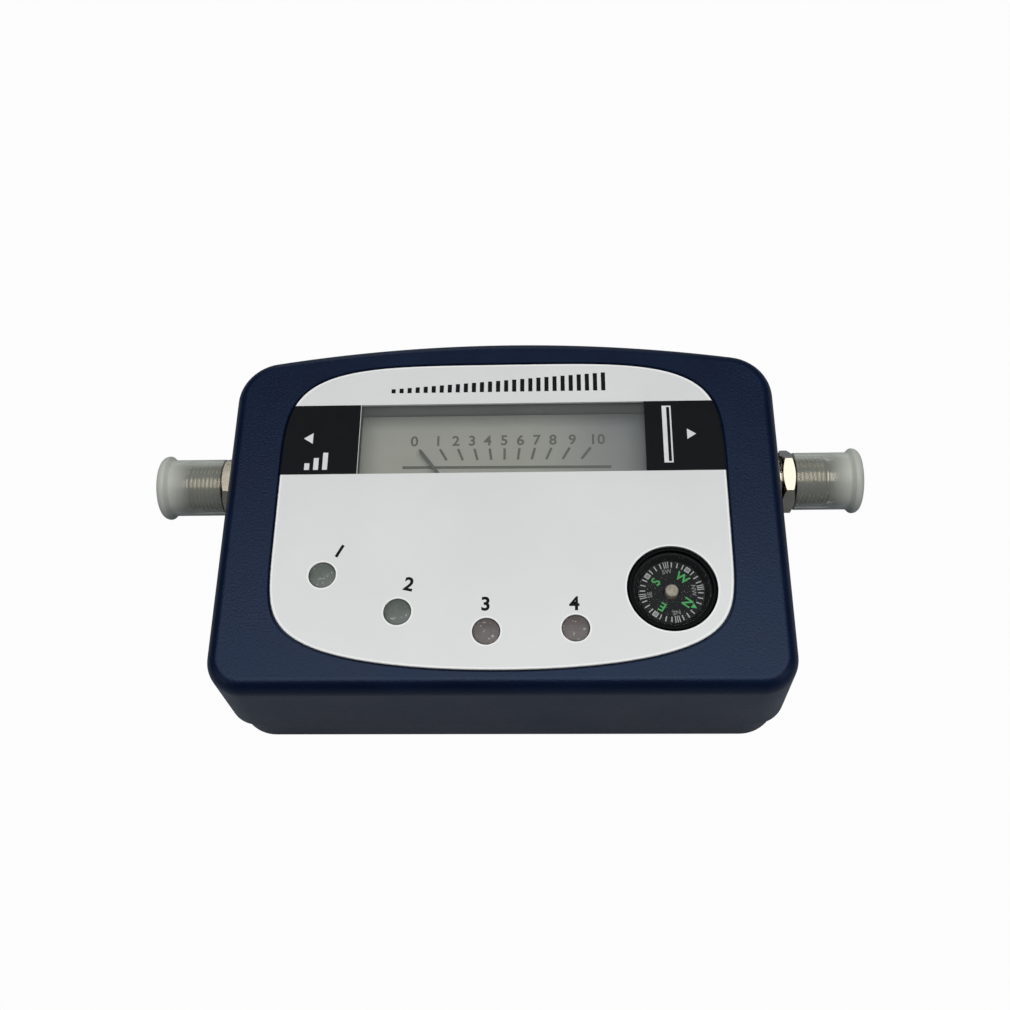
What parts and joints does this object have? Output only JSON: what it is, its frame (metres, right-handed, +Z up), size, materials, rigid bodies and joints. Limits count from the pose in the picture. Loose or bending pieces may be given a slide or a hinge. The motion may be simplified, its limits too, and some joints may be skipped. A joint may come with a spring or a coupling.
{
  "type": "satellite signal meter",
  "caption": "Flat rounded box with a printed face, a needle meter behind a window, small lamps, a compass, an edge wheel and a capped threaded cable socket on each side.",
  "frame": {"origin": "centre of the whole meter's box at the height of its underside", "axes": "+X to the right across the face towards the receiver side socket, +Y away from the reader towards the bowed far edge with the level wheel, +Z up out of the face"},
  "size_m": [0.1374, 0.0736, 0.03],
  "materials": {
    "navy_plastic": "moulded, finely grained",
    "silver_sheet": "printed sheet, satin",
    "clear_plastic": "clear, polished",
    "grey_plastic": "moulded",
    "scale_card": "printed, matt",
    "black_plastic": "moulded, satin",
    "white_plastic": "moulded",
    "milky_plastic": "soft, milky",
    "nickel": "nickel plated",
    "steel": "zinc plated",
    "brass": "bare",
    "copper": "enamelled wire",
    "magnet": "ground",
    "tinplate": "tinned",
    "board_laminate": "green solder mask",
    "lamp_resin": "clear cast resin"
  },
  "bodies": {
    "case": {"front_shell": "navy_plastic", "rear_cover": "navy_plastic", "case_screw_1": "steel", "case_screw_2": "steel", "case_screw_3": "steel", "case_screw_4": "steel", "face_panel": "silver_sheet", "meter_case": "grey_plastic", "meter_cover": "clear_plastic", "scale_plate": "scale_card", "meter_yoke": "steel", "core_magnet": "magnet", "bearing_bridge": "brass", "lower_bearing": "brass", "hair_spring": "brass", "compass_bowl": "black_plastic", "compass_lens": "clear_plastic", "compass_pin": "brass", "lamp_1": "lamp_resin", "lamp_2": "lamp_resin", "lamp_3": "lamp_resin", "lamp_4": "lamp_resin", "circuit_board": "board_laminate", "board_screw_1": "steel", "board_screw_2": "steel", "board_screw_3": "steel", "shield_can": "tinplate", "level_pot": "black_plastic", "socket_left": "nickel", "socket_right": "nickel", "insulator_left": "white_plastic", "insulator_right": "white_plastic", "contact_left": "brass", "contact_right": "brass", "washer_right": "nickel", "lock_washer_left": "nickel", "lock_washer_right": "nickel", "nut_left": "nickel", "nut_right": "nickel"},
    "pointer": {"needle": "black_plastic", "moving_coil": "copper"},
    "compass_dial": {"compass_card": "black_plastic", "compass_hub": "brass", "compass_magnet": "magnet"},
    "level_knob": {"level_wheel": "black_plastic", "wheel_screw": "steel"},
    "left_cap": {"cap_left": "milky_plastic"},
    "right_cap": {"cap_right": "milky_plastic"}
  },
  "joints": [
    {"name": "needle_swing", "type": "hinge", "parent": "case", "child": "pointer", "pos_m": [-0.0004, -0.00915, 0.025], "axis": [0, 0, -1], "range_deg": [0, 72.5], "stiffness_Nm_per_rad": 0.00002},
    {"name": "compass_turn", "type": "hinge", "parent": "case", "child": "compass_dial", "pos_m": [0.03011, -0.01787, 0.028], "axis": [0, 0, 1], "continuous": true},
    {"name": "level_turn", "type": "hinge", "parent": "case", "child": "level_knob", "pos_m": [-0.0004, 0.0273, 0.0138], "axis": [0, 0, 1], "range_deg": [-135, 135]},
    {"name": "left_cap_pull", "type": "slide", "parent": "case", "child": "left_cap", "axis": [-1, 0, 0], "range_m": [0, 0.014]},
    {"name": "right_cap_pull", "type": "slide", "parent": "case", "child": "right_cap", "axis": [1, 0, 0], "range_m": [0, 0.014]}
  ]
}
